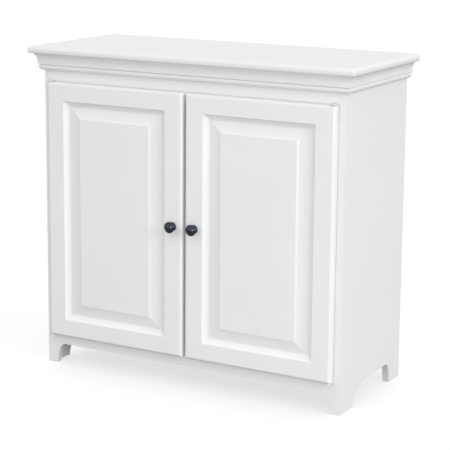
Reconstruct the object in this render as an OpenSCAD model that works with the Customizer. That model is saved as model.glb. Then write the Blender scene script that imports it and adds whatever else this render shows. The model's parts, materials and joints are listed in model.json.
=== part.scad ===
// Two-door storage cabinet on bracket feet: face-frame carcass, moulded crown
// under an overhanging top board, and overlay raised-panel doors on pivot hinges.
// Millimetres, +Z up, doors facing -Y. Origin: on the floor, in the middle of
// the bounding box. Inside the modules y = 0 is the front of the face frame.

/* [Carcass] */
// Width across the side panels
body_w = 914; // [800:1:1100]
// Depth from the front of the face frame to the back
body_d = 381; // [340:1:480]
// Height from the floor to the top surface
total_h = 900; // [860:1:1000]
// Thickness of the carcass boards, shelves and face frame
board_t = 19; // [18:0.5:21]
// Thickness of the back panel
back_t = 6; // [5:0.5:8]
// Width of each face-frame stile
stile_w = 50; // [46:1:60]
// Height of the visible band between the doors and the crown
frieze_h = 30; // [24:1:40]
// Height at which the cabinet floor's upper surface lies
floor_z = 108; // [104:1:125]
// Width of the two stretchers that carry the top board
stretcher_w = 70; // [60:1:90]

/* [Top board and crown] */
// Thickness of the top board
top_t = 20; // [18:0.5:25]
// Overhang of the top board at the front and the sides
overhang = 35; // [28:1:45]
// Rounding radius of the top board's upper edge
top_round = 11; // [6:0.5:12]
// Rounding radius of the top board's lower edge
top_round_low = 5; // [2:0.5:6]
// Height of the crown moulding
crown_h = 46; // [42:1:50]
// Projection of the crown moulding at its top
crown_p = 21.5; // [20:0.5:24]

/* [Feet] */
// Height of the openings between the feet
arch_h = 57; // [45:1:62]
// Width of a front foot at the floor, seen from the front
front_foot_w = 30; // [26:1:40]
// Sideways reach of the front foot's curve
front_flare = 28; // [16:1:40]
// Depth of a front foot at the floor, seen from the side
side_foot_w = 75; // [60:1:90]
// Reach of the front foot's curve, seen from the side
side_flare = 82; // [40:1:90]
// Depth of a back foot at the floor, seen from the side
back_foot_w = 66; // [50:1:80]
// Reach of the back foot's curve
back_flare = 24; // [10:1:40]

/* [Doors] */
// Thickness of the doors
door_t = 19; // [18:0.5:22]
// Gap between the two doors
door_gap = 8; // [4:0.5:10]
// Width of face frame left visible beside each door
door_reveal = 20; // [16:1:22]
// Height of the doors' lower edge above the floor
door_z = 86; // [82:1:92]
// Gap between the back of a closed door and the face frame
door_stand = 2.5; // [2.2:0.1:4]
// Rounding radius of the doors' front edges
door_round = 8; // [3:0.5:9]
// Width of the flat part of a door stile
flat_x = 54; // [50:1:65]
// Height of the flat part of a door rail
flat_z = 50; // [46:1:65]
// Width of the moulded inner edge of a door frame
stick_w = 15.5; // [10:0.5:17]
// Depth of the moulded inner edge below the face of the door
stick_d = 11; // [9:0.5:11.5]
// Width of the bevel at the sides of the raised field
bevel_w = 37; // [24:1:42]
// Width of the bevel above and below the raised field
bevel_h = 32; // [24:1:42]
// Depth of the raised field below the face of the door
field_sink = 3.2; // [2:0.1:5]

/* [Knobs] */
// Diameter of a knob's head
knob_d = 30; // [26:1:34]
// Projection of a knob from the face of the door
knob_p = 25; // [22:1:28]
// Distance of a knob from the free edge of its door
knob_in = 29; // [25:1:32]

/* [Hinges] */
// Distance of the hinge axis from the outer edge of the door
axis_in = 7; // [6:0.5:8]
// Distance of the hinge axis in front of the back of the door
axis_fwd = 12.5; // [12:0.5:13]
// Radius of a hinge pin
pin_r = 2.5; // [2:0.1:2.8]
// Radial running clearance of a pin in its bush
pin_play = 0.05; // [0.02:0.01:0.1]

/* [Hidden] */
$fn = 48;

// Colours
paint = [0.93, 0.93, 0.94];
inside = [0.90, 0.90, 0.89];
bronze = [0.10, 0.12, 0.15];
steel = [0.70, 0.71, 0.73];
beech = [0.80, 0.66, 0.46];
plastic = [0.92, 0.92, 0.90];
magnet = [0.20, 0.20, 0.22];
pad = [0.85, 0.87, 0.88];

eps = 1;                                 // how far cutters run past a face
half_w = body_w / 2;
side_in = half_w - board_t;              // inner face of a side panel
top_z = total_h - top_t;                 // underside of the top board
back_in = body_d - back_t;               // front of the back panel
stile_in = half_w - stile_w;             // inner edge of a face stile
crown_z = top_z - crown_h;
stretcher_z = top_z - board_t;           // underside of the stretchers

// Doors, worked out for the right-hand one
door_x0 = door_gap / 2;                  // free edge
door_x1 = half_w - door_reveal;          // hinge edge
door_x_mid = (door_x0 + door_x1) / 2;
door_w = door_x1 - door_x0;
door_top = crown_z - frieze_h;
door_h = door_top - door_z;
door_mid = (door_top + door_z) / 2;
door_back = -door_stand;
door_face = door_back - door_t;
overlap = 24;                            // doors' overlap on the rails
rail_top_z = door_top - overlap;         // lower edge of the face frame's top rail

// Door frame joints
groove_t = 4.5;                          // panel groove, front to back
groove_deep = 9;
panel_room = 1;                          // room for the panel to move in its groove
groove_y = door_face + stick_d;          // front of the groove
quirk = 0.8;                             // small step beside the moulded edge
member_x = flat_x + stick_w;             // whole width of a door stile
member_z = flat_z + stick_w;             // whole height of a door rail

// Middle of the bounding box, front to back
mid_y = (body_d + door_face - knob_p) / 2;

// Fasteners
dowel_r = 4;
dowel_l = 30;
nail_r = 0.9;
screw_r = 2;

// Shelves stand at thirds of the inside height, on pins in a 32 mm hole pitch
shelf_pitch = 32;
shelf_rows = [60, 330];                  // hole columns, from the front
shelf_front = 40;
shelf_room = 2;                          // gap beside a shelf
compartment_h = (stretcher_z - floor_z - 2 * board_t) / 3;
lower_z = floor_z + compartment_h;
upper_z = lower_z + board_t + compartment_h;
peg_r = 2.5;
peg_deep = 10;
peg_out = 9;

// Hinges
axis_x = door_x1 - axis_in;
axis_y = door_back - axis_fwd;
tab_t = 2;
tab_gap = 1;                             // between a tab and the door's end
leaf_h = 48;
leaf_w = 18;
bush_r = 4;
bush_sink = 2.5;
bush_l = 11.5;

// Magnetic catches
catch_x = 42;
catch_h = 12;
catch_w = 44;
magnet_w = 28;
magnet_h = 6;
strike_t = 1.2;

// ---- helpers -------------------------------------------------------------

// Moves the modelling frame to the part's frame
module place() {
    translate([0, -mid_y, 0]) children();
}

module mirrored() {
    mirror([1, 0, 0]) children();
}

module both_sides() {
    children();
    mirrored() children();
}

// Extrudes a shape drawn in X and Z along Y, from y0 to y1
module along_y(y0, y1) {
    translate([0, y1, 0]) rotate([90, 0, 0]) linear_extrude(y1 - y0) children();
}

// Extrudes a shape drawn in Y and Z along X, from x0 to x1
module along_x(x0, x1) {
    translate([x0, 0, 0]) rotate([90, 0, 90]) linear_extrude(x1 - x0) children();
}

// Extrudes a shape drawn in X and Y along Z, from z0 to z1
module along_z(z0, z1) {
    translate([0, 0, z0]) linear_extrude(z1 - z0) children();
}

// Box from one corner to the opposite one
module block(low, high) {
    translate(low) cube(high - low);
}

// What a rounding of radius r takes off a square corner at the origin
module corner_waste(r) {
    difference() {
        translate([-eps, -eps]) square(r + eps);
        translate([r, r]) circle(r);
    }
}

// Rectangle from low to high; its corners on the low-x side are rounded
module nosed(low, high, r_low, r_high) {
    difference() {
        translate(low) square(high - low);
        translate(low) corner_waste(r_low);
        translate([low.x, high.y]) mirror([0, 1]) corner_waste(r_high);
    }
}

// Countersunk screw along +Z from its head; a hole for it has no cross
module csk_screw(length, cross = true) {
    difference() {
        union() {
            cylinder(h = length, r = screw_r);
            cylinder(h = screw_r, r1 = 2 * screw_r, r2 = screw_r);
        }
        if (cross) {
            for (turn = [0, 90]) {
                rotate(turn) translate([-1.6, -0.4, -eps]) cube([3.2, 0.8, eps + 1.2]);
            }
        }
    }
}

// ---- feet ----------------------------------------------------------------

// Edge of a foot: up from the floor, then out in a quarter ellipse
function foot_curve(start, reach) =
    [for (a = [0:7.5:90]) [start + reach * (1 - cos(a)), arch_h * sin(a)]];

function reversed(list) = [for (i = [len(list) - 1:-1:0]) list[i]];

// Opening between two feet whose inner edges are given as curves
module arch(near, far) {
    polygon(concat([[near[0].x, -eps]], near, reversed(far), [[far[0].x, -eps]]));
}

module front_arch() {
    left = [for (p = foot_curve(front_foot_w, front_flare)) [p.x - half_w, p.y]];
    right = [for (p = left) [-p.x, p.y]];
    arch(left, right);
}

module side_arch() {
    back = [for (p = foot_curve(back_foot_w, back_flare)) [body_d - p.x, p.y]];
    arch(foot_curve(side_foot_w, side_flare), back);
}

// ---- fasteners, which also cut their own holes ---------------------------

module frame_dowels() {
    spots = [rail_top_z + 22, top_z - 22, arch_h + 13, floor_z - 12];
    for (z = spots) {
        translate([stile_in - dowel_l / 2, board_t / 2, z])
            rotate([0, 90, 0]) cylinder(h = dowel_l, r = dowel_r);
    }
}

module end_dowels() {
    inset = 18;
    spots = [board_t + inset, board_t + stretcher_w - inset,
             back_in - stretcher_w + inset, back_in - inset];
    for (y = spots) {
        translate([side_in - 18, y, stretcher_z + board_t / 2])
            rotate([0, 90, 0]) cylinder(h = dowel_l, r = dowel_r);
    }
}

module board_screws(cross = true) {
    rows = [board_t + stretcher_w / 2, back_in - stretcher_w / 2];
    for (x = [-1, 0, 1], y = rows) {
        translate([x * body_w / 3, y, stretcher_z]) csk_screw(board_t + 13, cross);
    }
}

module nails() {
    nail_l = 20;
    nail_in = 5;
    rise = (top_z - floor_z) / 5;
    sides = [for (i = [0:4], s = [-1, 1]) [s * (side_in + nail_in), floor_z + rise * (i + 0.5)]];
    ends = [for (x = [-3, -1, 1, 3], z = [floor_z, top_z]) [x * body_w / 8, z - board_t / 2]];
    for (p = concat(sides, ends)) {
        translate([p.x, body_d, p.y]) rotate([90, 0, 0]) cylinder(h = nail_l, r = nail_r, $fn = 24);
    }
}

// Holes for shelf pegs: a middle row in use, and a spare row above and below
module peg_holes() {
    for (z = [lower_z, upper_z], step = [-1, 0, 1], y = shelf_rows) {
        translate([side_in - eps, y, z - peg_r + step * shelf_pitch])
            rotate([0, 90, 0]) cylinder(h = peg_deep + eps, r = peg_r);
    }
}

// ---- carcass -------------------------------------------------------------

// End view of the top board with its left edge rounded
module board_end() {
    nosed([-half_w - overhang, top_z], [half_w + overhang, total_h], top_round_low, top_round);
}

module top_board() color(paint) place() difference() {
    intersection() {
        along_x(-half_w - overhang, half_w + overhang)
            nosed([-overhang, top_z], [body_d, total_h], top_round_low, top_round);
        along_y(-overhang, body_d) intersection() {
            board_end();
            mirror([1, 0]) board_end();
        }
    }
    board_screws(false);
}

module side_panel() color(paint) difference() {
    block([side_in, board_t, 0], [half_w, body_d, top_z]);
    along_x(side_in - eps, half_w + eps) side_arch();
    // Rebate for the back panel
    block([side_in - eps, back_in, floor_z - board_t], [side_in + 10, body_d + eps, top_z + eps]);
    // Housing for the cabinet floor
    block([side_in - eps, board_t - eps, floor_z - board_t], [side_in + 6, back_in + eps, floor_z]);
    peg_holes();
    end_dowels();
    nails();
}

module back_panel() color(inside) place() difference() {
    block([-side_in - 9, back_in, floor_z - board_t], [side_in + 9, body_d, top_z]);
    nails();
}

module bottom_panel() color(inside) place() difference() {
    block([-side_in - 6, board_t, floor_z - board_t], [side_in + 6, back_in, floor_z]);
    nails();
}

module face_stile() color(paint) difference() {
    block([stile_in, 0, 0], [half_w, board_t, top_z]);
    along_y(-eps, board_t + eps) front_arch();
    frame_dowels();
    top_and_bottom() hinge_bracket(false);
    top_and_bottom() leaf_screws(false);
}

module face_top_rail() color(paint) place() difference() {
    block([-stile_in, 0, rail_top_z], [stile_in, board_t, top_z]);
    both_sides() frame_dowels();
    catch_fixings(false);
}

module face_bottom_rail() color(paint) place() difference() {
    block([-stile_in, 0, arch_h - 10], [stile_in, board_t, floor_z]);
    along_y(-eps, board_t + eps) front_arch();
    both_sides() frame_dowels();
}

module face_frame_dowels() color(beech) place() both_sides() frame_dowels();

module stretcher(y0) difference() {
    block([-side_in, y0, stretcher_z], [side_in, y0 + stretcher_w, top_z]);
    both_sides() end_dowels();
    board_screws(false);
    nails();
}

module front_top_stretcher() color(inside) place() stretcher(board_t);

module rear_top_stretcher() color(inside) place() stretcher(back_in - stretcher_w);

module stretcher_dowels() color(beech) place() both_sides() end_dowels();

module top_board_screws() color(steel) place() board_screws();

// Triangular glue blocks behind the front feet, up to the cabinet floor
module corner_blocks() color(beech) place() both_sides() {
    leg = 16;
    translate([side_in, board_t]) along_z(arch_h / 2, floor_z - board_t)
        polygon([[0, 0], [-leg, 0], [0, leg]]);
}

module back_panel_nails() color(steel) place() nails();

// ---- crown ---------------------------------------------------------------

// Section of the crown, x out from the body and y up: ovolo, quirk, flat, cove and fascia
module crown_section() {
    fascia_h = 3;
    flat_p = 14.8;
    flat_low = 16;
    flat_top = 25;
    neck = 6.5;
    ovolo_p = 12.8;
    ovolo_mid = 9;
    ovolo_top = 14.4;
    quirk_p = 9;
    cove_out = crown_p - flat_p;
    cove_up = crown_h - fascia_h - flat_top;
    cove_r = (cove_out * cove_out + cove_up * cove_up) / 2 / cove_out;
    ovolo_out = ovolo_p - neck;
    ovolo_up = ovolo_mid - 1;
    ovolo_r = (ovolo_out * ovolo_out + ovolo_up * ovolo_up) / 2 / ovolo_out;
    square([neck, flat_low]);
    translate([0, ovolo_mid]) square([quirk_p, flat_low - ovolo_mid]);
    intersection() {
        square([ovolo_p, ovolo_top]);
        translate([ovolo_p - ovolo_r, ovolo_mid]) circle(ovolo_r);
    }
    difference() {
        translate([0, flat_low]) square([crown_p, crown_h - flat_low]);
        translate([flat_p, flat_low - eps]) square([crown_p, flat_top - flat_low + eps]);
        intersection() {
            translate([flat_p, flat_top - eps]) square([crown_p, cove_up + eps]);
            translate([flat_p + cove_r, flat_top]) circle(cove_r);
        }
    }
}

// Keeps the part of the front crown between its two mitres
module mitre_wedge() {
    reach = half_w + crown_p + eps;
    along_z(crown_z - eps, top_z + eps)
        polygon([[-reach, -crown_p - eps], [reach, -crown_p - eps], [0, reach - crown_p - eps]]);
}

module crown_front() color(paint) place() intersection() {
    translate([0, 0, crown_z])
        along_x(-half_w - crown_p, half_w + crown_p) mirror([1, 0]) crown_section();
    mitre_wedge();
}

module crown_side() difference() {
    translate([half_w, 0, crown_z]) along_y(-crown_p, body_d) crown_section();
    mitre_wedge();
}

module crown_left() color(paint) place() mirrored() crown_side();

module crown_right() color(paint) place() crown_side();

// ---- shelves -------------------------------------------------------------

module shelf(z) {
    block([shelf_room - side_in, shelf_front, z], [side_in - shelf_room, back_in - 5, z + board_t]);
}

module upper_shelf() color(inside) place() shelf(upper_z);

module lower_shelf() color(inside) place() shelf(lower_z);

// Spoon-shaped pegs in the middle row of each group of holes
module shelf_pins() color(steel) place() both_sides() {
    for (z = [lower_z, upper_z], y = shelf_rows) {
        translate([side_in - peg_out, y, z - peg_r]) {
            rotate([0, 90, 0]) cylinder(h = peg_out + peg_deep - 1, r = peg_r);
            translate([0, -4, peg_r - 1.5]) cube([peg_out - 1, 8, 1.5]);
        }
    }
}

// ---- pivot hinges, drawn for the top of the right-hand door ---------------

// Copies a hinge to the foot of the door
module top_and_bottom() {
    children();
    translate([0, 0, 2 * door_mid]) mirror([0, 0, 1]) children();
}

// Leaf let into the face stile, with a tab over the end of the door
module hinge_bracket(drilled = true) {
    tab_z = door_top + tab_gap;
    difference() {
        union() {
            block([door_x1 - leaf_w, 0, tab_z + tab_t - leaf_h], [door_x1, tab_t, tab_z + tab_t]);
            block([axis_x - axis_in, axis_y, tab_z], [door_x1, tab_t, tab_z + tab_t]);
            translate([axis_x, axis_y, tab_z]) cylinder(h = tab_t, r = axis_in);
        }
        if (drilled) {
            hinge_pin();
            leaf_screws(false);
        }
    }
}

// Pin riveted in the tab, with a collar that meets the bush
module hinge_pin() {
    collar_r = 3.6;
    collar_l = tab_gap + bush_sink - 0.3;
    tip = tab_gap + bush_sink + bush_l - 1;
    translate([axis_x, axis_y, door_top + tab_gap]) {
        translate([0, 0, -tip]) cylinder(h = tip + tab_t, r = pin_r);
        translate([0, 0, -collar_l]) cylinder(h = collar_l, r = collar_r);
    }
}

module leaf_screws(cross = true) {
    for (drop = [14, 36]) {
        translate([door_x1 - leaf_w / 2, 0, door_top - drop])
            rotate([-90, 0, 0]) csk_screw(16, cross);
    }
}

module hinge_bush() {
    translate([axis_x, axis_y, door_top - bush_sink - bush_l]) difference() {
        cylinder(h = bush_l, r = bush_r);
        translate([0, 0, -eps]) cylinder(h = bush_l + 2 * eps, r = pin_r + pin_play);
    }
}

module door_bushes() color(steel) top_and_bottom() hinge_bush();

// Blind hole in the end of the door for a bush and the pin's collar
module bush_hole() {
    translate([axis_x, axis_y, door_top - bush_sink - bush_l])
        cylinder(h = bush_l + bush_sink + eps, r = bush_r);
}

module hinge_brackets() color(steel) place() both_sides() top_and_bottom() hinge_bracket();

module hinge_pins() color(steel) place() both_sides() top_and_bottom() hinge_pin();

module hinge_screws() color(steel) place() both_sides() top_and_bottom() leaf_screws();

// ---- magnetic catches under the top rail ----------------------------------

module catch_fixings(cross = true) {
    reach = catch_w / 2 - 4;
    for (x = [-catch_x - reach, -catch_x + reach, catch_x - reach, catch_x + reach]) {
        translate([x, board_t / 2, rail_top_z - catch_h]) csk_screw(catch_h + 12, cross);
    }
}

module catch_magnet() {
    block([catch_x - magnet_w / 2, -0.8, rail_top_z - 9],
          [catch_x + magnet_w / 2, 12, rail_top_z - 9 + magnet_h]);
}

module catch_bodies() color(plastic) place() difference() {
    both_sides() difference() {
        block([catch_x - catch_w / 2, 0.5, rail_top_z - catch_h], [catch_x + catch_w / 2, 17, rail_top_z]);
        catch_magnet();
    }
    catch_fixings(false);
}

module catch_magnets() color(magnet) place() both_sides() catch_magnet();

module catch_screws() color(steel) place() catch_fixings();

// ---- doors, drawn for the right-hand one -----------------------------------

// The whole door before its opening is cut: all four front edges are rounded
module door_blank() {
    intersection() {
        along_z(door_z, door_top)
            front_rounded([door_x0, door_face], [door_x1, door_back]);
        along_x(door_x0, door_x1) mirror([1, -1])
            front_rounded([door_z, door_face], [door_top, door_back]);
    }
}

// Rectangle from low to high with both corners on its low-y side rounded
module front_rounded(low, high) {
    difference() {
        translate(low) square(high - low);
        translate(low) corner_waste(door_round);
        translate([high.x, low.y]) mirror([1, 0]) corner_waste(door_round);
    }
}

// Half-width of the moulded cut at each depth below the face: a hollow, steepest beside the flat
hollow_turn = 36;
hollow_r = norm([stick_w, stick_d - quirk]) / 2 / sin(hollow_turn / 2);
hollow_a = atan2(stick_d - quirk, stick_w) + hollow_turn / 2;
stick_curve = [for (a = [0:9:hollow_turn])
    [stick_w - hollow_r * (sin(hollow_a) - sin(hollow_a - a)),
     quirk + hollow_r * (cos(hollow_a - a) - cos(hollow_a))]];

// Cut in one direction: half is half the clear opening, y runs back from the face
module stick_cut(half) {
    edge = concat([[stick_w, -eps]], stick_curve, [[0, door_t + eps]]);
    right = [for (p = edge) [half + p.x, p.y]];
    left = [for (p = reversed(edge)) [-half - p.x, p.y]];
    polygon(concat(right, left));
}

module opening_cut() {
    half_x = door_w / 2 - member_x;
    half_z = door_h / 2 - member_z;
    translate([door_x_mid, door_face, door_mid]) intersection() {
        along_z(-door_h, door_h) stick_cut(half_x);
        rotate([0, 90, 0]) along_z(-door_w, door_w) stick_cut(half_z);
    }
}

// Groove along the inner edges of both stiles, over their whole height
module stile_grooves() {
    block([door_x0 + member_x - groove_deep, groove_y, door_z - eps],
          [door_x1 - member_x + groove_deep, groove_y + groove_t, door_top + eps]);
}

module door_member(x0, x1, z0, z1) {
    intersection() {
        difference() {
            door_blank();
            opening_cut();
        }
        block([x0, door_face - eps, z0], [x1, door_back + eps, z1]);
    }
}

module hinge_stile() color(paint) difference() {
    door_member(door_x1 - member_x, door_x1 + eps, door_z - eps, door_top + eps);
    stile_grooves();
    top_and_bottom() bush_hole();
}

module lock_stile() color(paint) difference() {
    door_member(door_x0 - eps, door_x0 + member_x, door_z - eps, door_top + eps);
    stile_grooves();
    knob_hole();
    strike_fixings(false);
}

// Rail with a stub tenon at each end and a groove for the panel
module door_rail(z0, z1, groove_z0, groove_z1) color(paint) {
    x0 = door_x0 + member_x;
    x1 = door_x1 - member_x;
    difference() {
        union() {
            door_member(x0, x1, z0, z1);
            intersection() {
                door_blank();
                block([x0 - groove_deep, groove_y, z0], [x1 + groove_deep, groove_y + groove_t, z1]);
            }
        }
        block([x0 - groove_deep - eps, groove_y, groove_z0],
              [x1 + groove_deep + eps, groove_y + groove_t, groove_z1]);
    }
}

module door_top_rail() {
    z0 = door_top - member_z;
    door_rail(z0, door_top, z0 - eps, z0 + groove_deep);
}

module door_bottom_rail() {
    z1 = door_z + member_z;
    door_rail(door_z, z1, z1 - groove_deep, z1 + eps);
}

// Panel section across half its size: tongue, hollow bevel, ramp and field
module panel_section(half, margin) {
    tongue = groove_deep - panel_room;
    ramp_w = 7.5;
    ramp_h = 3;
    field_t = groove_t + stick_d - field_sink;
    rise = field_t - groove_t - ramp_h;
    run = margin - ramp_w;
    bevel = [for (t = [0:0.25:1]) [t * run, groove_t + rise * t * (0.7 + 0.3 * t)]];
    edge = concat([[-tongue, 0], [-tongue, groove_t]], bevel, [[margin, field_t]]);
    right = [for (p = edge) [half - p.x, -p.y]];
    left = [for (p = reversed(edge)) [p.x - half, -p.y]];
    polygon(concat(right, left));
}

module raised_panel() color(paint) {
    half_x = door_w / 2 - member_x;
    half_z = door_h / 2 - member_z;
    translate([door_x_mid, groove_y + groove_t, door_mid]) intersection() {
        along_z(-door_h, door_h) panel_section(half_x, bevel_w);
        rotate([0, 90, 0]) along_z(-door_w, door_w) panel_section(half_z, bevel_h);
    }
}

// Places a shape, drawn along +Z, so that it stands out of the door's face
module at_knob() {
    translate([door_x0 + knob_in, door_face, door_mid]) rotate([90, 0, 0]) children();
}

module knob_hole() {
    at_knob() translate([0, 0, -door_t - eps]) cylinder(h = door_t + 2 * eps, r = screw_r + 0.2);
}

module knob() color(bronze) {
    r = knob_d / 2;
    at_knob() difference() {
        rotate_extrude() polygon([
            [0, 0], [0.8 * r, 0], [0.8 * r, 2], [0.7 * r, 3], [0.62 * r, 5], [0.6 * r, 8],
            [0.61 * r, knob_p - 14], [0.7 * r, knob_p - 11.4], [0.86 * r, knob_p - 10.1],
            [r, knob_p - 8.6], [r, knob_p - 7], [0.94 * r, knob_p - 5.9], [0.82 * r, knob_p - 5.9],
            [0.8 * r, knob_p - 5], [0.65 * r, knob_p - 3.1], [0.45 * r, knob_p - 1.4],
            [0.22 * r, knob_p - 0.3], [0, knob_p]
        ]);
        translate([0, 0, -eps]) cylinder(h = 12 + eps, r = screw_r);
    }
}

// Pan-head screw from the back of the door into the knob
module knob_screw() color(steel) {
    head_h = 2.2;
    at_knob() translate([0, 0, -door_t]) difference() {
        union() {
            translate([0, 0, -head_h]) cylinder(h = head_h, r = 2 * screw_r);
            translate([0, 0, -head_h]) cylinder(h = head_h + door_t + 10, r = screw_r);
        }
        for (turn = [0, 90]) {
            rotate(turn) translate([-1.8, -0.4, -head_h - eps]) cube([3.6, 0.8, eps + 1.2]);
        }
    }
}

module strike_fixings(cross = true) {
    for (x = [catch_x - 11, catch_x + 11]) {
        translate([x, door_back + strike_t, rail_top_z - 6])
            rotate([90, 0, 0]) scale(0.6) csk_screw(18, cross);
    }
}

module strike_screws() color(steel) strike_fixings();

module strike_plate() color(steel) difference() {
    block([catch_x - 16, door_back, rail_top_z - 12], [catch_x + 16, door_back + strike_t, rail_top_z - 0.5]);
    strike_fixings(false);
}

// Soft pads that meet the rails when the door closes
module bumpers() color(pad) {
    for (z = [door_z + 10, door_top - 12]) {
        translate([door_x0 + 14, door_back, z]) rotate([-90, 0, 0]) cylinder(h = door_stand - 0.3, r = 4);
    }
}

module left_side_panel() place() mirrored() side_panel();
module right_side_panel() place() side_panel();
module left_face_stile() place() mirrored() face_stile();
module right_face_stile() place() face_stile();

top_board();
left_side_panel();
right_side_panel();
back_panel();
bottom_panel();
left_face_stile();
right_face_stile();
face_top_rail();
face_bottom_rail();
face_frame_dowels();
crown_front();
crown_left();
crown_right();
front_top_stretcher();
rear_top_stretcher();
stretcher_dowels();
top_board_screws();
corner_blocks();
back_panel_nails();
upper_shelf();
lower_shelf();
shelf_pins();
hinge_brackets();
hinge_pins();
hinge_screws();
catch_bodies();
catch_magnets();
catch_screws();
place() mirrored() hinge_stile();  // left_door_hinge_stile
place() mirrored() lock_stile();  // left_door_lock_stile
place() mirrored() door_top_rail();  // left_door_top_rail
place() mirrored() door_bottom_rail();  // left_door_bottom_rail
place() mirrored() raised_panel();  // left_door_raised_panel
place() mirrored() knob();  // left_door_knob
place() mirrored() knob_screw();  // left_door_knob_screw
place() mirrored() door_bushes();  // left_door_bushes
place() mirrored() strike_plate();  // left_door_strike_plate
place() mirrored() strike_screws();  // left_door_strike_screws
place() mirrored() bumpers();  // left_door_bumpers
place() hinge_stile();  // right_door_hinge_stile
place() lock_stile();  // right_door_lock_stile
place() door_top_rail();  // right_door_top_rail
place() door_bottom_rail();  // right_door_bottom_rail
place() raised_panel();  // right_door_raised_panel
place() knob();  // right_door_knob
place() knob_screw();  // right_door_knob_screw
place() door_bushes();  // right_door_bushes
place() strike_plate();  // right_door_strike_plate
place() strike_screws();  // right_door_strike_screws
place() bumpers();  // right_door_bumpers
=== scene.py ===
import json
import math

import bmesh
import bpy
from mathutils import Matrix, Vector


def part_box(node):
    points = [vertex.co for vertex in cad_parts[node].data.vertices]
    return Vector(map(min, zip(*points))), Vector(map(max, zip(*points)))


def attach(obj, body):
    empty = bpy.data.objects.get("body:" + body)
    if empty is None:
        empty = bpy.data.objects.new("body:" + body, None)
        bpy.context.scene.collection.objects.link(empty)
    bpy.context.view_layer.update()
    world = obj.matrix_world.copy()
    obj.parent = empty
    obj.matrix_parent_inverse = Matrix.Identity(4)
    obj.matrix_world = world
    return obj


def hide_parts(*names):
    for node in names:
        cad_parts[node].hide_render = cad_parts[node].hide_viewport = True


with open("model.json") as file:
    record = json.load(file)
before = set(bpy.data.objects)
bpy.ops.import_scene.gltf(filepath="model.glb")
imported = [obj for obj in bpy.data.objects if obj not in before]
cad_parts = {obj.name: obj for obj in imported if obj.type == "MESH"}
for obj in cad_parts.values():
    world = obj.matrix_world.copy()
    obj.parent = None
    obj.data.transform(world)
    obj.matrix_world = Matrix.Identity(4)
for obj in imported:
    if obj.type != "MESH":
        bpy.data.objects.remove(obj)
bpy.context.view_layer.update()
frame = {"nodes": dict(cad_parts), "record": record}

# Two-door painted cabinet. Metres, in the CAD model's frame: the doors face -Y, +Z is up.
MM = 0.001
SIDES = {"left": -1, "right": 1}

# Roundings, mouldings and holes that the CAD boxes don't give
BOARD_ROUND = 11 * MM          # upper edge of the top board
BOARD_ROUND_LOW = 5 * MM       # its lower edge
BOARD_CORNER = 4 * MM          # its two front corners, seen from above
BOARD_SCREW_R = 2 * MM         # its screws; their heads have twice this radius
ARCH_H = 57 * MM               # openings between the feet
FRONT_FOOT = (30 * MM, 28 * MM)    # width at the floor, and the curve's reach
SIDE_FOOT = (75 * MM, 82 * MM)
BACK_FOOT = (66 * MM, 24 * MM)
REBATE_DEEP = 10 * MM          # side panels' rebate for the back panel
HOUSING_DEEP = 6 * MM          # their groove for the cabinet floor
PEG_R = 2.5 * MM               # shelf-peg holes
PEG_DEEP = 10 * MM
LEAF_W = 18 * MM               # hinge leaf let into a face stile
LEAF_H = 48 * MM
LEAF_T = 2 * MM
DOOR_ROUND = 8 * MM            # a door's outer edges, at the front
DOOR_CORNER = 2.5 * MM         # its four corners, seen from the front
FLAT_X = 54 * MM               # flat of a door stile
FLAT_Z = 50 * MM               # flat of a door rail
STICK_W = 15.5 * MM            # moulded inner edge of the door frame
STICK_D = 11 * MM
STICK_TURN = 36                # turn of its hollow, in degrees
QUIRK = 0.8 * MM               # small step between the flat and the hollow
GROOVE_T = 4.5 * MM            # panel groove, front to back
GROOVE_DEEP = 9 * MM
PANEL_ROOM = 1 * MM            # room for the panel to move in its groove
PANEL_PLAY = 0.1 * MM          # its play, front and back
BEVEL_W = 37 * MM              # bevel at the sides of the raised field
BEVEL_H = 32 * MM              # bevel above and below it
RAMP_W = 7.5 * MM              # steeper end of the bevel, beside the field
RAMP_H = 3 * MM
FIELD_SINK = 3.2 * MM          # raised field below the door's face
BUSH_L = 11.5 * MM             # bushes of the hinge pins
KNOB_SCREW_R = 2.2 * MM        # hole of the screw that holds a knob
JOINT = 0.06 * MM              # hairline between glued members

# Widths of the eased edges
EASE_BOARD = 0.6 * MM
EASE_CROWN = 0.6 * MM
EASE_CARCASS = 0.8 * MM
EASE_FRAME = 0.45 * MM
EASE_PANEL = 0.9 * MM

# How close the middle of an edge lies to the line, or to the door's face, that it belongs to
NEAR = 0.2 * MM
ON_FACE = 0.05 * MM


# ---- mesh helpers -------------------------------------------------------------

def solid(name, points, faces):
    """Object made of points and faces, with doubled points merged and normals outwards."""
    mesh = bpy.data.meshes.new(name)
    mesh.from_pydata([tuple(p) for p in points], [], faces)
    bm = bmesh.new()
    bm.from_mesh(mesh)
    bmesh.ops.remove_doubles(bm, verts=bm.verts, dist=1e-6)
    bmesh.ops.dissolve_degenerate(bm, edges=bm.edges, dist=1e-6)
    bmesh.ops.recalc_face_normals(bm, faces=bm.faces)
    bm.to_mesh(mesh)
    bm.free()
    obj = bpy.data.objects.new(name, mesh)
    bpy.context.scene.collection.objects.link(obj)
    return obj


def arc(centre, radius, start, end, steps=10):
    """Points of an arc in 2D, angles in degrees."""
    angles = [math.radians(start + (end - start) * i / steps) for i in range(steps + 1)]
    return [(centre[0] + radius * math.cos(a), centre[1] + radius * math.sin(a)) for a in angles]


def lofted(name, loops):
    """Solid whose skin joins closed loops with equal numbers of points; the end loops are capped."""
    count = len(loops[0])
    points = [p for loop in loops for p in loop]
    faces = []
    for i in range(len(loops) - 1):
        for j in range(count):
            k = (j + 1) % count
            faces.append((i * count + j, i * count + k, (i + 1) * count + k, (i + 1) * count + j))
    last = (len(loops) - 1) * count
    faces.append(tuple(range(count))[::-1])
    faces.append(tuple(range(last, last + count)))
    return solid(name, points, faces)


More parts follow.
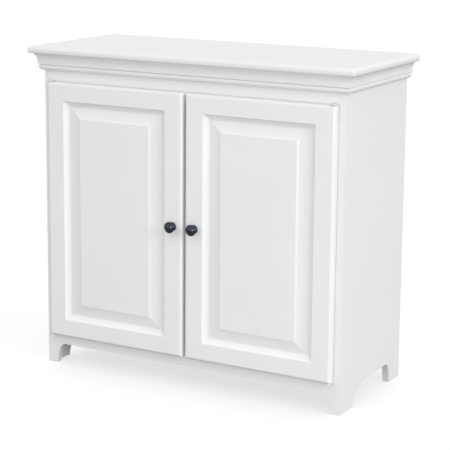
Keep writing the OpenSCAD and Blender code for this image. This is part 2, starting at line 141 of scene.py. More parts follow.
def extruded(name, outline, place, low, high):
    """Outline drawn in 2D, pulled from low to high; place(u, v, w) gives the point in 3D."""
    return lofted(name, [[place(u, v, w) for u, v in outline] for w in (low, high)])


def carve(obj, cutters):
    """Cuts solids out of obj and removes them."""
    for cutter in cutters:
        cut = obj.modifiers.new("cut", "BOOLEAN")
        cut.operation = "DIFFERENCE"
        cut.solver = "EXACT"
        cut.object = cutter
    bpy.context.view_layer.update()
    evaluated = obj.evaluated_get(bpy.context.evaluated_depsgraph_get())
    result = bpy.data.meshes.new_from_object(evaluated)
    obj.modifiers.clear()
    obj.data = result
    for cutter in cutters:
        bpy.data.objects.remove(cutter)


def ring(radius, segments):
    """Points of a full circle in 2D."""
    return arc((0, 0), radius, 0, 360, segments)[:-1]


def rod(start, end, radius):
    """Round cutter between two points."""
    start, end = Vector(start), Vector(end)
    turn = (end - start).to_track_quat("Z", "Y")
    circle = [turn @ Vector((u, v, 0)) for u, v in ring(radius, 32)]
    return lofted("cutter", [[centre + p for p in circle] for centre in (start, end)])


def brick(xs, ys, zs):
    """Square-edged cutter between two values of X, Y and Z; the X values come in either order."""
    x0, x1 = sorted(xs)
    y0, y1 = ys
    outline = [(x0, y0), (x1, y0), (x1, y1), (x0, y1)]
    return extruded("cutter", outline, lambda u, v, w: (u, v, w), *zs)


def ease(obj, width, fine=None, fine_share=0.3, limit=28, segments=3):
    """Softens edges that turn by more than limit degrees.

    Those that fine(middle of the edge) picks get only fine_share of the width.
    """
    mesh = obj.data
    bm = bmesh.new()
    bm.from_mesh(mesh)
    weights = bm.edges.layers.float.new("bevel_weight_edge")
    for edge in bm.edges:
        if len(edge.link_faces) == 2 and edge.calc_face_angle() > math.radians(limit):
            middle = (edge.verts[0].co + edge.verts[1].co) / 2
            edge[weights] = fine_share if fine and fine(middle) else 1.0
    for face in bm.faces:
        face.smooth = True
    bm.to_mesh(mesh)
    bm.free()
    round_off = obj.modifiers.new("eased edges", "BEVEL")
    round_off.limit_method = "WEIGHT"
    round_off.width = width
    round_off.segments = segments
    even = obj.modifiers.new("even shading", "WEIGHTED_NORMAL")
    even.keep_sharp = True
    even.weight = 100


def piece(obj, nodes, body, material):
    """Puts a finished piece in the place of CAD nodes."""
    obj.data.materials.clear()
    obj.data.materials.append(material)
    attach(obj, body)
    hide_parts(*nodes)


# ---- materials ----------------------------------------------------------------

class Nodes:
    """Short way to write a material's node tree."""

    def __init__(self, name):
        self.material = bpy.data.materials.new(name)
        self.material.use_nodes = True
        self.tree = self.material.node_tree
        self.tree.nodes.clear()
        self.shader = self.add("ShaderNodeBsdfPrincipled")
        output = self.add("ShaderNodeOutputMaterial")
        self.link(self.shader.outputs["BSDF"], output.inputs["Surface"])
        self.place = self.add("ShaderNodeTexCoord").outputs["Object"]

    def add(self, kind, **settings):
        node = self.tree.nodes.new(kind)
        for key, value in settings.items():
            setattr(node, key, value)
        return node

    def link(self, source, target):
        self.tree.links.new(source, target)

    def stretched(self, scale):
        """Coordinates multiplied along X, Y and Z."""
        mapping = self.add("ShaderNodeMapping")
        mapping.inputs["Scale"].default_value = scale
        self.link(self.place, mapping.inputs["Vector"])
        return mapping.outputs["Vector"]

    def noise(self, scale, detail=3.0, rough=0.5, along=None):
        """Noise from 0 to 1, in the object's metres; along stretches it."""
        node = self.add("ShaderNodeTexNoise")
        node.inputs["Scale"].default_value = scale
        node.inputs["Detail"].default_value = detail
        node.inputs["Roughness"].default_value = rough
        self.link(self.stretched(along) if along else self.place, node.inputs["Vector"])
        return node.outputs["Fac"]

    def range(self, source, low, high, from_low=0.3, from_high=0.7):
        """Maps one range of values onto another, and clamps."""
        node = self.add("ShaderNodeMapRange")
        limits = {"From Min": from_low, "From Max": from_high, "To Min": low, "To Max": high}
        for key, value in limits.items():
            node.inputs[key].default_value = value
        self.link(source, node.inputs["Value"])
        return node.outputs["Result"]

    def ramp(self, source, stops):
        """Colour ramp with stops of position and colour."""
        node = self.add("ShaderNodeValToRGB")
        colours = node.color_ramp.elements
        while len(colours) < len(stops):
            colours.new(0.5)
        for element, (position, colour) in zip(colours, stops):
            element.position = position
            element.color = (*colour, 1)
        self.link(source, node.inputs["Fac"])
        return node.outputs["Color"]

    def mix(self, first, second, amount):
        """First colour with a share of the second; either may be a plain colour."""
        node = self.add("ShaderNodeMix", data_type="RGBA")
        a, b = [s for s in node.inputs if s.type == "RGBA"][:2]
        for source, socket in ((first, a), (second, b)):
            if isinstance(source, tuple):
                socket.default_value = (*source, 1)
            else:
                self.link(source, socket)
        if isinstance(amount, float):
            node.inputs["Factor"].default_value = amount
        else:
            self.link(amount, node.inputs["Factor"])
        return [s for s in node.outputs if s.type == "RGBA"][0]

    def bump(self, height, strength, distance, under=None):
        """Bump, added to the one under it."""
        node = self.add("ShaderNodeBump")
        node.inputs["Strength"].default_value = strength
        node.inputs["Distance"].default_value = distance
        self.link(height, node.inputs["Height"])
        if under:
            self.link(under, node.inputs["Normal"])
        return node.outputs["Normal"]

    def finish(self, colour, roughness, normal=None, sockets=()):
        """Links the shader; sockets holds names and values that are the same all over."""
        self.link(colour, self.shader.inputs["Base Color"])
        self.link(roughness, self.shader.inputs["Roughness"])
        if normal:
            self.link(normal, self.shader.inputs["Normal"])
        for key, value in sockets:
            self.shader.inputs[key].default_value = value
        return self.material


# Stretch of a noise whose streaks run along one axis
GRAIN = {"X": (1, 18, 18), "Y": (18, 1, 18), "Z": (18, 18, 1)}


def shade(colour, *factors):
    """Colour times one factor or one for each channel, never above 1."""
    if len(factors) == 1:
        factors = factors * 3
    return tuple(min(1.0, c * f) for c, f in zip(colour, factors))


def streaks(grain, factor):
    """Stretch along the grain, made coarser or finer."""
    return tuple(factor * s for s in GRAIN[grain])


def pointiness(n):
    """How much a surface curves outwards: above 0.5 on its edges."""
    return n.add("ShaderNodeNewGeometry").outputs["Pointiness"]


def painted(name, colour, grain, rough=0.36):
    """Satin enamel on wood: brush lines along the grain, roller stipple, uneven sheen, and painted shade
    in the hollows.
    """
    n = Nodes(name)
    light = shade(colour, 1.005)
    low_tone_and_hollow_shade = shade(colour, 0.99)
    clouds = n.noise(5.0, 4.0)
    tone = n.ramp(clouds, [(0.3, low_tone_and_hollow_shade), (0.7, light)])
    dust = n.noise(38.0, 5.0, 0.6)
    warm = shade(colour, 0.965, 0.955, 0.93)
    tone = n.mix(tone, warm, n.range(dust, 0.0, 0.12, 0.58, 0.82))
    # Painted shade: hollows and inner corners, found by pointiness, are mixed a little towards the darker
    # tone
    tone = n.mix(tone, low_tone_and_hollow_shade, n.range(pointiness(n), 0.25, 0.0, 0.44, 0.5))
    brush = n.noise(70.0, 3.0, 0.55, GRAIN[grain])
    pores = n.noise(24.0, 6.0, 0.62, streaks(grain, 2.2))
    stipple = n.noise(900.0, 2.0)
    normal = n.bump(pores, 0.05, 0.35 * MM)
    normal = n.bump(brush, 0.06, 0.25 * MM, normal)
    normal = n.bump(stipple, 0.05, 0.08 * MM, normal)
    sheen = n.range(n.mix(brush, clouds, 0.5), rough - 0.05, rough + 0.08)
    return n.finish(tone, sheen, normal, [("Specular IOR Level", 0.45)])


def bare_wood(name, colour, grain):
    """Unpainted beech: rings, short dark flecks and open pores along the grain."""
    n = Nodes(name)
    rings = n.noise(9.0, 6.0, 0.6, GRAIN[grain])
    tone = n.ramp(rings, [(0.32, shade(colour, 0.8)), (0.5, colour), (0.68, shade(colour, 1.12))])
    flecks = n.noise(160.0, 2.0, 0.5, streaks(grain, 1 / 3))
    tone = n.mix(tone, shade(colour, 0.55), n.range(flecks, 0.0, 0.4, 0.62, 0.72))
    normal = n.bump(flecks, 0.15, 0.2 * MM)
    return n.finish(tone, n.range(rings, 0.5, 0.62), normal)


def metal(name, colour, rough, spots=420.0, wear=None):
    """Metal with a fine uneven finish, in another colour where edges are handled."""
    n = Nodes(name)
    patches = n.noise(spots / 6, 4.0, 0.6)
    tone = n.ramp(patches, [(0.35, shade(colour, 0.86)), (0.65, colour)])
    if wear:
        tone = n.mix(tone, wear, n.range(pointiness(n), 0.0, 0.5, 0.52, 0.6))
    normal = n.bump(n.noise(spots), 0.12, 0.06 * MM)
    sheen = n.range(patches, rough - 0.06, rough + 0.06)
    return n.finish(tone, sheen, normal, [("Metallic", 1.0)])


def moulded(name, colour, rough, sockets=()):
    """Moulded plastic or rubber: spark-eroded grain and slight flow marks."""
    n = Nodes(name)
    flow = n.noise(60.0, 3.0)
    tone = n.ramp(flow, [(0.3, shade(colour, 0.95)), (0.7, colour)])
    normal = n.bump(n.noise(1800.0, 2.0), 0.12, 0.04 * MM)
    return n.finish(tone, n.range(flow, rough - 0.04, rough + 0.06), normal, sockets)


# Colours are linear
PAINT = (0.833, 0.832, 0.841)
# Painted shade: the top board gets a darker, warmer copy of the white paint, so that its face that looks
# up does not come out brighter than the front
SHADED_TOP_PAINT = (0.790, 0.783, 0.777)
INSIDE_PAINT = (0.74, 0.742, 0.745)
BACK_PAINT = (0.72, 0.718, 0.705)
POWDER_COAT = (0.74, 0.74, 0.745)
BEECH = (0.60, 0.42, 0.25)
BLOCK_WOOD = (0.62, 0.45, 0.28)
BRONZE = (0.066, 0.077, 0.097)
WORN_BRONZE = (0.13, 0.14, 0.16)
ZINC = (0.58, 0.59, 0.61)
BRASS = (0.66, 0.47, 0.20)
WHITE_PLASTIC = (0.80, 0.80, 0.78)
FERRITE = (0.055, 0.055, 0.06)
CLEAR_RUBBER = (0.70, 0.73, 0.75)
SEE_THROUGH = [("Transmission Weight", 0.35), ("IOR", 1.45)]

paint = {axis: painted(f"paint_{axis.lower()}", PAINT, axis) for axis in "XYZ"}
# Darker copy of the white paint for the top board: painted shade
top_paint = painted("top_paint", SHADED_TOP_PAINT, "X", rough=0.34)
inside_paint = painted("inside_paint", INSIDE_PAINT, "X", rough=0.5)
back_paint = painted("back_paint", BACK_PAINT, "Z", rough=0.6)
beech = bare_wood("beech", BEECH, "X")
block_wood = bare_wood("block_wood", BLOCK_WOOD, "Z")
bronze = metal("dark_bronze", BRONZE, rough=0.16, spots=500.0, wear=WORN_BRONZE)
zinc = metal("zinc", ZINC, rough=0.34)
white_steel = painted("powder_coat", POWDER_COAT, "Z", rough=0.42)
brass = metal("brass", BRASS, rough=0.28)
plastic = moulded("catch_plastic", WHITE_PLASTIC, rough=0.42)
ferrite = moulded("ferrite", FERRITE, rough=0.62)
clear_pad = moulded("clear_pad", CLEAR_RUBBER, rough=0.25, sockets=SEE_THROUGH)


# ---- camera, light and floor ----------------------------------------------------

CAMERA_AT = (2.0304, -3.5755, 1.3401)
CAMERA_TURN = (29.35, 10.97, 0.46)     # yaw, pitch and roll, in degrees
CAMERA_LENS = 122.4
CAMERA_SHIFT = -0.1
AIM = Vector((0, 0, 0.45))             # lights point at the middle of the cabinet
SKY_LEVEL = 0.95
SUN_LEVEL = 0.93
SUN_FROM = (1.0, -0.3, 0.88)
SUN_SPREAD = 26                        # width of its disc, in degrees
SOFTBOX_POWER = 20
SOFTBOX_AT = (1.45, -2.8, 0.62)
SOFTBOX_SIZE = 0.7
FLOOR_HALF = 60                        # half the floor's width
FLOOR_GLOW = 0.66


def look(yaw, pitch, roll):
    """Rotation of a camera that looks along +Y, turned left, tipped down and rolled, in degrees."""
    y, p, r = (math.radians(a) for a in (yaw, pitch, roll))
    forward = Vector((-math.sin(y) * math.cos(p), math.cos(y) * math.cos(p), -math.sin(p)))
    right = Vector((math.cos(y), math.sin(y), 0))
    up = right.cross(forward)
    across = math.cos(r) * right + math.sin(r) * up
    above = math.cos(r) * up - math.sin(r) * right
    return Matrix((across, above, -forward)).transposed().to_4x4()


def make_camera():
    """Camera at the photo's angle; its yaw is to the left and its pitch down."""
    data = bpy.data.cameras.new("camera")
    data.sensor_width = 36
    data.lens = CAMERA_LENS
    data.shift_y = CAMERA_SHIFT
    data.clip_end = 200
    camera = bpy.data.objects.new("camera", data)
    camera.matrix_world = Matrix.Translation(CAMERA_AT) @ look(*CAMERA_TURN)
    bpy.context.scene.collection.objects.link(camera)
    bpy.context.scene.camera = camera


def make_light(kind, name, energy, position, **settings):
    """White light at a position, pointed at the cabinet and unseen by the camera."""
    data = bpy.data.lights.new(name, kind)
    data.energy = energy
    for key, value in settings.items():
        setattr(data, key, value)
    light = bpy.data.objects.new(name, data)
    light.location = position
    light.rotation_mode = "QUATERNION"
    light.rotation_quaternion = (Vector(position) - AIM).to_track_quat("Z", "Y")
    light.visible_camera = False
    bpy.context.scene.collection.objects.link(light)


def make_studio():
    """Bright room, a soft sun from the right, a softbox in front, and a floor that glows for itself."""
    world = bpy.data.worlds.new("studio")
    world.use_nodes = True
    sky = world.node_tree.nodes["Background"]
    sky.inputs["Color"].default_value = (1.0, 1.0, 1.0, 1)
    sky.inputs["Strength"].default_value = SKY_LEVEL
    bpy.context.scene.world = world
    make_light("SUN", "soft_sun", SUN_LEVEL, SUN_FROM, angle=math.radians(SUN_SPREAD))
    make_light("AREA", "softbox", SOFTBOX_POWER, SOFTBOX_AT, shape="SQUARE", size=SOFTBOX_SIZE)
    corners = [(-FLOOR_HALF, -FLOOR_HALF, 0), (FLOOR_HALF, -FLOOR_HALF, 0),
               (FLOOR_HALF, FLOOR_HALF, 0), (-FLOOR_HALF, FLOOR_HALF, 0)]
    floor = solid("floor", corners, [(0, 1, 2, 3)])
    n = Nodes("floor")
    tone = n.ramp(n.noise(0.8), [(0.3, (0.32, 0.32, 0.32)), (0.7, (0.33, 0.33, 0.33))])
    glow = [("Specular IOR Level", 0.2), ("Emission Color", (1, 1, 1, 1)),
            ("Emission Strength", FLOOR_GLOW)]
    floor.data.materials.append(n.finish(tone, n.range(n.noise(3.0), 0.55, 0.65), sockets=glow))
    # The floor's glow lights the floor only
    lit_by_glow = bpy.data.collections.new("lit_by_floor_glow")
    lit_by_glow.objects.link(floor)
    floor.light_linking.receiver_collection = lit_by_glow
    bpy.context.scene.view_settings.view_transform = "Standard"


make_camera()
make_studio()


# ---- carcass --------------------------------------------------------------------

def make_top_board():
    """Board with rounded edges and corners, square at the back, with its screw holes."""
    low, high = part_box("top_board")
    thick = high.z - low.z
    edge = arc((BOARD_ROUND_LOW, BOARD_ROUND_LOW), BOARD_ROUND_LOW, 270, 180, 8)
    edge += arc((BOARD_ROUND, thick - BOARD_ROUND), BOARD_ROUND, 180, 90, 14)
    # The corners tighten as the edge rounds in, and the back edge stays almost square
    loops = []
    for inset, height in edge:
        r = max(BOARD_CORNER - inset * 0.3, 0.8 * MM)
        x0, x1 = low.x + inset, high.x - inset
        y0, y1 = low.y + inset, high.y - inset * 0.12
        plan = [(x1, y1), (x0, y1)]
        plan += arc((x0 + r, y0 + r), r, 180, 270, 6)
        plan += arc((x1 - r, y0 + r), r, 270, 360, 6)
        loops.append([(x, y, low.z + height) for x, y in plan])
    board = lofted("top_board_enamelled", loops)
    screw_low, screw_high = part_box("top_board_screws")
    head_r = 2 * BOARD_SCREW_R
    rows = (screw_low.y + head_r, screw_high.y - head_r)
    columns = (screw_low.x + head_r, 0, screw_high.x - head_r)
    spots = [(x, y) for x in columns for y in rows]
    carve(board, [rod((x, y, low.z - MM), (x, y, screw_high.z), BOARD_SCREW_R) for x, y in spots])
    ease(board, EASE_BOARD)
    piece(board, ["top_board"], "carcass", top_paint)


def crown_profile(height, reach):
    """Crown section, out from the body and up: neck, ovolo, quirk, flat, cove and fascia."""
    neck, neck_h, quirk = 6.5 * MM, 1 * MM, 9 * MM
    ovolo, ovolo_mid, ovolo_top = 12.8 * MM, 9 * MM, 14.4 * MM
    flat, flat_low, flat_top = 14.8 * MM, 16 * MM, 25 * MM
    fascia_h = 3 * MM
    out, up = ovolo - neck, ovolo_mid - neck_h
    ovolo_r = (out * out + up * up) / 2 / out
    low_edge = math.degrees(math.asin(up / ovolo_r))
    high_edge = math.degrees(math.asin((ovolo_top - ovolo_mid) / ovolo_r))
    profile = [(0, 0), (neck, 0)] + arc((ovolo - ovolo_r, ovolo_mid), ovolo_r, -low_edge, high_edge, 16)
    profile += [(quirk, ovolo_top), (quirk, flat_low), (flat, flat_low)]
    cove_top = height - fascia_h
    out, up = reach - flat, cove_top - flat_top
    cove_r = (out * out + up * up) / 2 / out
    turn = math.degrees(math.asin(up / cove_r))
    profile += arc((flat + cove_r, flat_top), cove_r, 180, 180 - turn, 12)
    return profile + [(reach, height), (0, height)]


def make_crown():
    """Three lengths of one section, mitred at the front corners."""
    front_low, front_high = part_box("crown_front")
    body_x, back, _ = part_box("right_side_panel")[1]
    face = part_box("face_top_rail")[0].y
    profile = crown_profile(front_high.z - front_low.z, face - front_low.y)
    z = front_low.z
    ends = [[(s * (body_x + p - JOINT), face - p, z + h) for p, h in profile] for s in (-1, 1)]
    lengths = {"front": lofted("crown_front_moulding", ends)}
    for side, s in SIDES.items():
        loops = [[(s * (body_x + p), face - p + JOINT, z + h) for p, h in profile],
                 [(s * (body_x + p), back, z + h) for p, h in profile]]
        lengths[side] = lofted(f"crown_{side}_moulding", loops)

    def sharp(m):
        in_quirk = 14 * MM < m.z - z < 17 * MM
        on_mitre = abs(abs(m.x) - body_x - face + m.y) < NEAR
        return in_quirk or on_mitre

    for side, obj in lengths.items():
        ease(obj, EASE_CROWN, sharp, 0.3, limit=30, segments=2)
        piece(obj, [f"crown_{side}"], "carcass", paint["X" if side == "front" else "Y"])


def foot_curve(start, reach, steps=28):
    """Edge of a foot from the floor up and out in a quarter ellipse: distance in, height."""
    angles = [math.pi / 2 * i / steps for i in range(steps + 1)]
    return [(start + reach * (1 - math.cos(a)), ARCH_H * math.sin(a)) for a in angles]


def make_side_panels():
    """Panels with the arch between the feet, rebate, housing and the rows of peg holes."""
    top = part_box("top_board")[0].z
    floor_low, floor_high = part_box("bottom_panel")
    back_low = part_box("back_panel")[0]
    mounts = {m["name"]: m for m in frame["record"]["mounts"]}
    front_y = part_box("left_face_stile")[0].y
    for side, s in SIDES.items():
        low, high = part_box(f"{side}_side_panel")
        front = [(front_y + u, v) for u, v in foot_curve(*SIDE_FOOT)]
        rear = [(high.y - u, v) for u, v in foot_curve(*BACK_FOOT)]
        outline = [(low.y, top), (low.y, 0)] + front + rear[::-1] + [(high.y, 0), (high.y, top)]
        panel = extruded(f"{side}_side_enamelled", outline, lambda u, v, w: (w, u, v), low.x, high.x)
        inner = low.x if s > 0 else high.x
        start = inner - s * MM
        rebate = brick((start, inner + s * REBATE_DEEP), (back_low.y, high.y + MM), (back_low.z, top + MM))
        housing = brick((start, inner + s * HOUSING_DEEP), (low.y - MM, back_low.y + MM),
                        (floor_low.z, floor_high.z))
        cutters = [rebate, housing]
        for level in ("lower", "upper"):
            mount = mounts[f"{level}_peg_holes_{side}"]
            _, y, z = mount["pos_m"]
            half_y = mount["dims"]["spacing_x_mm"] * MM / 2
            step = mount["dims"]["spacing_y_mm"] * MM / 2
            for dy in (-half_y, half_y):
                for dz in (-step, 0, step):
                    deep_end = (inner + s * PEG_DEEP, y + dy, z + dz)
                    cutters.append(rod((start, y + dy, z + dz), deep_end, PEG_R))
        carve(panel, cutters)
        ease(panel, EASE_CARCASS, limit=30)
        piece(panel, [f"{side}_side_panel"], "carcass", paint["Z"])


def make_face_frame():
    """Stiles that run down into the front feet, and the rails between them."""
    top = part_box("top_board")[0].z
    hinge_low, hinge_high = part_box("hinge_brackets")
    for side, s in SIDES.items():
        low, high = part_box(f"{side}_face_stile")
        outer, inner = (high.x, low.x) if s > 0 else (low.x, high.x)
        width = abs(outer - inner)
        foot = [(u, v) for u, v in foot_curve(*FRONT_FOOT) if u < width - 0.3 * MM]
        reach = FRONT_FOOT[0] + FRONT_FOOT[1]
        end = ARCH_H * math.sin(math.acos((reach - width) / FRONT_FOOT[1]))
        outline = [(0, top), (0, 0)] + foot + [(width, end), (width, top)]
        stile = extruded(f"{side}_face_stile_enamelled", [(outer - s * u, v) for u, v in outline],
                         lambda u, v, w: (u, w, v), low.y, high.y)
        edge = hinge_high.x if s > 0 else hinge_low.x
        leaves = ((hinge_low.z, hinge_low.z + LEAF_H), (hinge_high.z - LEAF_H, hinge_high.z))
        carve(stile, [brick((edge, edge - s * LEAF_W), (low.y - MM, low.y + LEAF_T), zs) for zs in leaves])
        ease(stile, EASE_CARCASS, lambda m: abs(m.x - inner) < NEAR, 0.15, limit=30)
        piece(stile, [f"{side}_face_stile"], "carcass", paint["Z"])
    for name in ("face_top_rail", "face_bottom_rail"):
        low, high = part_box(name)
        half = high.x - JOINT
        bottom = [(-half, low.z), (half, low.z)]
        if name == "face_bottom_rail":
            stile_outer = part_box("right_face_stile")[1].x
            curve = [(stile_outer - u, v) for u, v in foot_curve(*FRONT_FOOT, steps=56)]
            curve = [(x, z) for x, z in curve if x < half]
            bottom = [(-x, z) for x, z in curve] + curve[::-1]
            bottom = [(-half, low.z)] + bottom + [(half, low.z)]
        outline = bottom + [(half, high.z), (-half, high.z)]
        rail = extruded(f"{name}_enamelled", outline, lambda u, v, w: (u, w, v), low.y, high.y)
        ease(rail, EASE_CARCASS, lambda m: abs(abs(m.x) - half) < NEAR, 0.15, limit=30)
        piece(rail, [name], "carcass", paint["X"])


# ---- doors ----------------------------------------------------------------------

class Door:
    """Places of one door, across from its free edge, up from its bottom and back from its face."""

    def __init__(self, side):
        self.side = side
        self.s = SIDES[side]
        self.body = f"{side}_door"
        hinge_low, hinge_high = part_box(f"{side}_door_hinge_stile")
        lock_low, lock_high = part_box(f"{side}_door_lock_stile")
        self.x_hinge = hinge_high.x if self.s > 0 else hinge_low.x
        self.x_free = lock_low.x if self.s > 0 else lock_high.x
        self.z0, self.z1 = hinge_low.z, hinge_high.z
        self.face, self.back = hinge_low.y, hinge_high.y
        self.thick = self.back - self.face
        self.width = abs(self.x_hinge - self.x_free)
        self.height = self.z1 - self.z0

    def at(self, u, v, depth):
        """u across from the free edge, v up from the bottom, depth back from the face."""
        return (self.x_free + self.s * u, self.face + depth, self.z0 + v)


def outer_edge(thick):
    """Rounded outer edge of a door: inset and depth, from the back to the face."""
    return [(0, thick)] + arc((DOOR_ROUND, DOOR_ROUND), DOOR_ROUND, 180, 270, 10)


def stick_edge(flat, thick):
    """Moulded inner edge from the flat to the back: quirk, hollow, groove for the panel."""
    lip = flat + STICK_W
    turn = math.radians(STICK_TURN)
    fall = STICK_D - QUIRK
    radius = math.hypot(STICK_W, fall) / 2 / math.sin(turn / 2)
    first = math.atan2(fall, STICK_W) + turn / 2
    steps = 14
    hollow = []
    for i in range(1, steps + 1):
        a = first - turn * i / steps
        inset = flat + radius * (math.sin(first) - math.sin(a))
        hollow.append((inset, QUIRK + radius * (math.cos(a) - math.cos(first))))
    groove_in, groove_back = lip - GROOVE_DEEP, STICK_D + GROOVE_T
    groove = [(groove_in, STICK_D), (groove_in, groove_back), (lip, groove_back)]
    return [(flat, QUIRK)] + hollow + groove + [(lip, thick)]


class Skin:
    """Collects faces given by their points."""

    def __init__(self):
        self.points = []
        self.faces = []

    def face(self, points):
        start = len(self.points)
        self.points += points
        self.faces.append(tuple(range(start, start + len(points))))

    def strip(self, first, second):
        for i in range(len(first) - 1):
            self.face([first[i], first[i + 1], second[i + 1], second[i]])


def make_stile(door, which):
    """Door stile: both outer corners are its own, the moulding is mitred where the rails meet it."""
    free = which == "lock"
    width, height, t = door.width, door.height, door.thick

    def at(d, v, depth):
        return door.at(d if free else width - d, v, depth)

    flat = FLAT_X - JOINT
    outer = outer_edge(t)
    stick = stick_edge(FLAT_X, t)
    skin = Skin()
    paths = []
    for d, depth in outer:
        r = max(DOOR_CORNER - d * 0.2, 0.4 * MM)
        plan = [(flat, d)] + arc((d + r, d + r), r, 270, 180, 5)
        plan += arc((d + r, height - d - r), r, 180, 90, 5) + [(flat, height - d)]
        paths.append([at(u, v, depth) for u, v in plan])
    for first, second in zip(paths, paths[1:]):
        skin.strip(first, second)
    skin.face(paths[-1] + [at(flat, height - FLAT_Z, 0), at(flat, FLAT_Z, 0)])

    def mitre(d):
        return FLAT_Z + (d - FLAT_X) + JOINT

    rows = [(flat, 0, FLAT_Z), (flat, QUIRK, FLAT_Z)]
    rows += [(d, depth, mitre(d)) for d, depth in stick[1:]]
    low = [at(d, v, depth) for d, depth, v in rows]
    top = [at(d, height - v, depth) for d, depth, v in rows]
    skin.strip(low, top)
    lip = stick[-1][0]
    for flip in (False, True):
        def level(v):
            return height - v if flip else v
        end = [at(flat, level(d), depth) for d, depth in outer]
        end += [at(flat, level(FLAT_Z), 0), at(flat, level(FLAT_Z), QUIRK), at(flat, level(FLAT_Z), t)]
        skin.face(end)
        skin.face([at(d, level(v), depth) for d, depth, v in rows[1:]] + [at(flat, level(FLAT_Z), t)])
    skin.face(paths[0] + [at(flat, height - FLAT_Z, t), at(lip, height - mitre(lip), t),
                          at(lip, mitre(lip), t), at(flat, FLAT_Z, t)])
    return solid(f"{door.side}_door_{which}_stile_enamelled", skin.points, skin.faces)


def make_rail(door, which):
    """Door rail between the stiles' flats, with the moulding mitred at both ends."""
    width, height, t = door.width, door.height, door.thick
    top = which == "top"

    def at(u, d, depth):
        return door.at(u, height - d if top else d, depth)

    outer = outer_edge(t)
    stick = stick_edge(FLAT_Z, t)
    start = FLAT_X + JOINT

    def reach(d):
        return start + max(0.0, d - FLAT_Z)

    rows = [(d, depth, start) for d, depth in outer]
    rows += [(FLAT_Z, 0, start), (FLAT_Z, QUIRK, start)]
    rows += [(d, depth, reach(d)) for d, depth in stick[1:]]
    rows.append((FLAT_Z, t, start))
    skin = Skin()
    left = [at(u, d, depth) for d, depth, u in rows]
    right = [at(width - u, d, depth) for d, depth, u in rows]
    skin.strip(left + left[:1], right + right[:1])
    cut = len(outer) + 2
    for end in (left, right):
        skin.face(end[:cut] + [end[-1]])
        skin.face(end[cut - 1:])
    return solid(f"{door.side}_door_{which}_rail_enamelled", skin.points, skin.faces)


def make_raised_panel(door):
    """Loose panel: tongue in the groove, hollow bevel mitred at the corners, ramp and raised field."""
    width, height = door.width, door.height
    edge_x, edge_z = FLAT_X + STICK_W, FLAT_Z + STICK_W
    tongue = GROOVE_DEEP - PANEL_ROOM
    back = STICK_D + GROOVE_T - PANEL_PLAY
    front = STICK_D + PANEL_PLAY
    run = BEVEL_W - RAMP_W
    rise = front - FIELD_SINK - RAMP_H
    # A slightly hollow bevel, then a steeper ramp up to the field
    steps, ramp_steps = 10, 6
    rows = [(-tongue, back), (-tongue, front)]
    for i in range(steps + 1):
        rows.append((run * i / steps, front - rise * (i / steps) * (0.7 + 0.3 * i / steps)))
    for i in range(1, ramp_steps + 1):
        rows.append((run + RAMP_W * i / ramp_steps, FIELD_SINK + RAMP_H * (1 - (i / ramp_steps) ** 1.3)))

    def upright(inset):
        """Inset from the rail that goes with an inset from the stile."""
        if inset <= 0:
            return inset
        share = (BEVEL_H - RAMP_W) / run
        return inset * share if inset <= run else inset - BEVEL_W + BEVEL_H

    loops = []
    for inset, depth in rows:
        x, z = edge_x + inset, edge_z + upright(inset)
        loops.append([door.at(u, v, depth) for u, v in
                      ((x, z), (width - x, z), (width - x, height - z), (x, height - z))])
    panel = lofted(f"{door.side}_door_panel_enamelled", loops)
    # The mitres stay sharp
    for edge in panel.data.edges:
        a, b = (panel.data.vertices[i].co for i in edge.vertices)
        if abs(a.x - b.x) > 1e-5 and abs(a.z - b.z) > 1e-5:
            edge.use_edge_sharp = True

    def mitre(m):
        u, v = abs(m.x - door.x_free), m.z - door.z0
        across = min(u, width - u) - edge_x
        up = min(v, height - v) - edge_z
        return abs(upright(across) - up) < NEAR or m.y > door.face + STICK_D

    ease(panel, EASE_PANEL, mitre, 0, limit=15)
    piece(panel, [f"{door.side}_door_raised_panel"], door.body, paint["Z"])


def make_door_frame(door):
    """Both stiles and both rails; the edges at their joints, mitres and lips stay sharper."""

    def joint(m):
        u = abs(m.x - door.x_free)
        v = m.z - door.z0
        from_stile = min(abs(u - FLAT_X), abs(door.width - FLAT_X - u))
        from_rail = min(abs(v - FLAT_Z), abs(door.height - FLAT_Z - v))
        on_joint = from_stile < NEAR and m.y < door.face + ON_FACE
        at_lip = min(abs(from_stile - STICK_W), abs(from_rail - STICK_W)) < NEAR
        on_lip = at_lip and m.y > door.face + 0.9 * STICK_D
        on_mitre = abs(from_stile - from_rail) < NEAR and from_stile <= STICK_W + MM
        return on_joint or on_lip or on_mitre

    bush_low, bush_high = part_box(f"{door.side}_door_bushes")
    screw_low, screw_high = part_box(f"{door.side}_door_knob_screw")
    for which in ("hinge", "lock"):
        stile = make_stile(door, which)
        if which == "hinge":
            x, y = (bush_low.x + bush_high.x) / 2, (bush_low.y + bush_high.y) / 2
            radius = (bush_high.x - bush_low.x) / 2
            deep = bush_low.z - door.z0 + BUSH_L
            carve(stile, [rod((x, y, door.z0 - MM), (x, y, door.z0 + deep), radius),
                          rod((x, y, door.z1 - deep), (x, y, door.z1 + MM), radius)])
        else:
            x, z = (screw_low.x + screw_high.x) / 2, (screw_low.z + screw_high.z) / 2
            carve(stile, [rod((x, door.face - MM, z), (x, door.back + MM, z), KNOB_SCREW_R)])
        ease(stile, EASE_FRAME, joint, 0.2, limit=26)
        piece(stile, [f"{door.side}_door_{which}_stile"], door.body, paint["Z"])
    for which in ("top", "bottom"):
        rail = make_rail(door, which)
        ease(rail, EASE_FRAME, joint, 0.2, limit=26)
        piece(rail, [f"{door.side}_door_{which}_rail"], door.body, paint["X"])


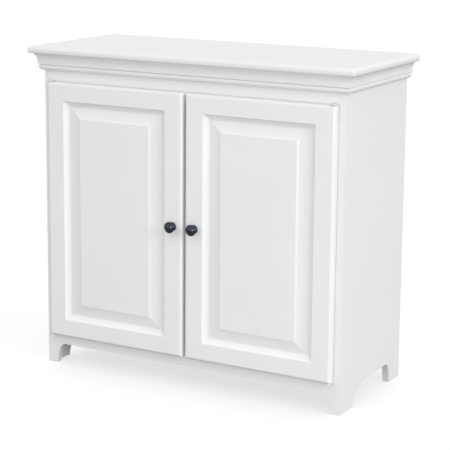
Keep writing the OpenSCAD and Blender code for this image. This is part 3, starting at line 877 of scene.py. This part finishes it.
def knob_profile(radius, reach):
    """Turned knob: radius and distance from the door, from the back of the flange to the dome.

    Flange, waisted neck, rim and a dome set off by a step. The head is measured back from its top.
    """
    flange, flange_h, flange_round = 0.8 * radius, 1.4 * MM, 1.2 * MM
    chamfer = 0.5 * MM
    profile = [(0.3 * radius, 0), (flange - chamfer, 0), (flange, chamfer), (flange, flange_h)]
    profile += arc((flange - flange_round, flange_h), flange_round, 0, 75, 5)[1:]
    neck, neck_end = 0.6 * radius, 0.7 * radius
    low, high = 2.8 * MM, reach - 11.4 * MM
    waist = (low + high) / 2
    steps = 14
    for i in range(steps + 1):
        h = low + (high - low) * i / steps
        bulge = abs(h - waist) / (waist - low)
        profile.append((neck + (neck_end - neck) * bulge ** 2.4, h))
    profile.append((0.86 * radius, reach - 10.1 * MM))
    rim_low, rim_high = 1.5 * MM, 1.3 * MM
    profile += arc((radius - rim_low, reach - 8.4 * MM), rim_low, -60, 0, 6)
    profile += arc((radius - rim_high, reach - 7.0 * MM), rim_high, 0, 75, 7)
    dome, rise = 0.8 * radius, 5.0 * MM
    step = reach - 5.9 * MM
    profile += [(dome + 0.7 * MM, step), (dome + 0.3 * MM, step)]
    ball = (dome * dome + rise * rise) / 2 / rise
    span = math.degrees(math.asin(dome / ball))
    return profile + arc((0, reach - ball), ball, 90 - span, 90, 14)


def make_knob(door):
    """Knob turned about its axis, which points out of the door."""
    low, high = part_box(f"{door.side}_door_knob")
    radius = (high.x - low.x) / 2
    centre_x, centre_z = (low.x + high.x) / 2, (low.z + high.z) / 2
    profile = knob_profile(radius, high.y - low.y)
    loops = [[(centre_x + u, high.y - h, centre_z + v) for u, v in ring(r, 72)] for r, h in profile[:-1]]
    knob = lofted(f"{door.side}_door_turned_knob", loops)
    for face in knob.data.polygons:
        face.use_smooth = True
    knob.data.set_sharp_from_angle(angle=math.radians(50))
    piece(knob, [f"{door.side}_door_knob"], door.body, bronze)


# ---- CAD nodes that show as they are ----------------------------------------------

def dress(node, material, width=0.0):
    """Finishes a CAD node: its own material, and eased edges by modifiers only."""
    obj = frame["nodes"][node]
    for slot in obj.material_slots:
        slot.material = material
    if width:
        # Seams closed and flat faces merged first, so that only real edges are rounded
        weld = obj.modifiers.new("weld", "WELD")
        weld.merge_threshold = 0.002 * MM
        flat = obj.modifiers.new("merge flats", "DECIMATE")
        flat.decimate_type = "DISSOLVE"
        flat.angle_limit = math.radians(0.5)
        round_off = obj.modifiers.new("eased edges", "BEVEL")
        round_off.limit_method = "ANGLE"
        round_off.angle_limit = math.radians(35)
        round_off.width = width
        round_off.segments = 2
        even = obj.modifiers.new("even shading", "WEIGHTED_NORMAL")
        even.weight = 100


def dress_cad_nodes():
    """Materials and eased edges for every node that no piece replaces."""
    for node in ("bottom_panel", "upper_shelf", "lower_shelf",
                 "front_top_stretcher", "rear_top_stretcher"):
        dress(node, inside_paint, 0.6 * MM)
    dress("back_panel", back_paint, 0.4 * MM)
    dress("corner_blocks", block_wood, 0.8 * MM)
    for node in ("face_frame_dowels", "stretcher_dowels"):
        dress(node, beech, 0.5 * MM)
    for node in ("top_board_screws", "back_panel_nails", "shelf_pins", "hinge_screws", "catch_screws"):
        dress(node, zinc)
    dress("hinge_brackets", white_steel, 0.25 * MM)
    dress("hinge_pins", white_steel)
    dress("catch_bodies", plastic, 0.6 * MM)
    dress("catch_magnets", ferrite, 0.3 * MM)
    for side in SIDES:
        dress(f"{side}_door_knob_screw", zinc)
        dress(f"{side}_door_bushes", brass)
        dress(f"{side}_door_strike_plate", zinc, 0.2 * MM)
        dress(f"{side}_door_strike_screws", zinc)
        dress(f"{side}_door_bumpers", clear_pad, 0.5 * MM)


make_top_board()
make_crown()
make_side_panels()
make_face_frame()
for side in SIDES:
    door = Door(side)
    make_door_frame(door)
    make_raised_panel(door)
    make_knob(door)
dress_cad_nodes()
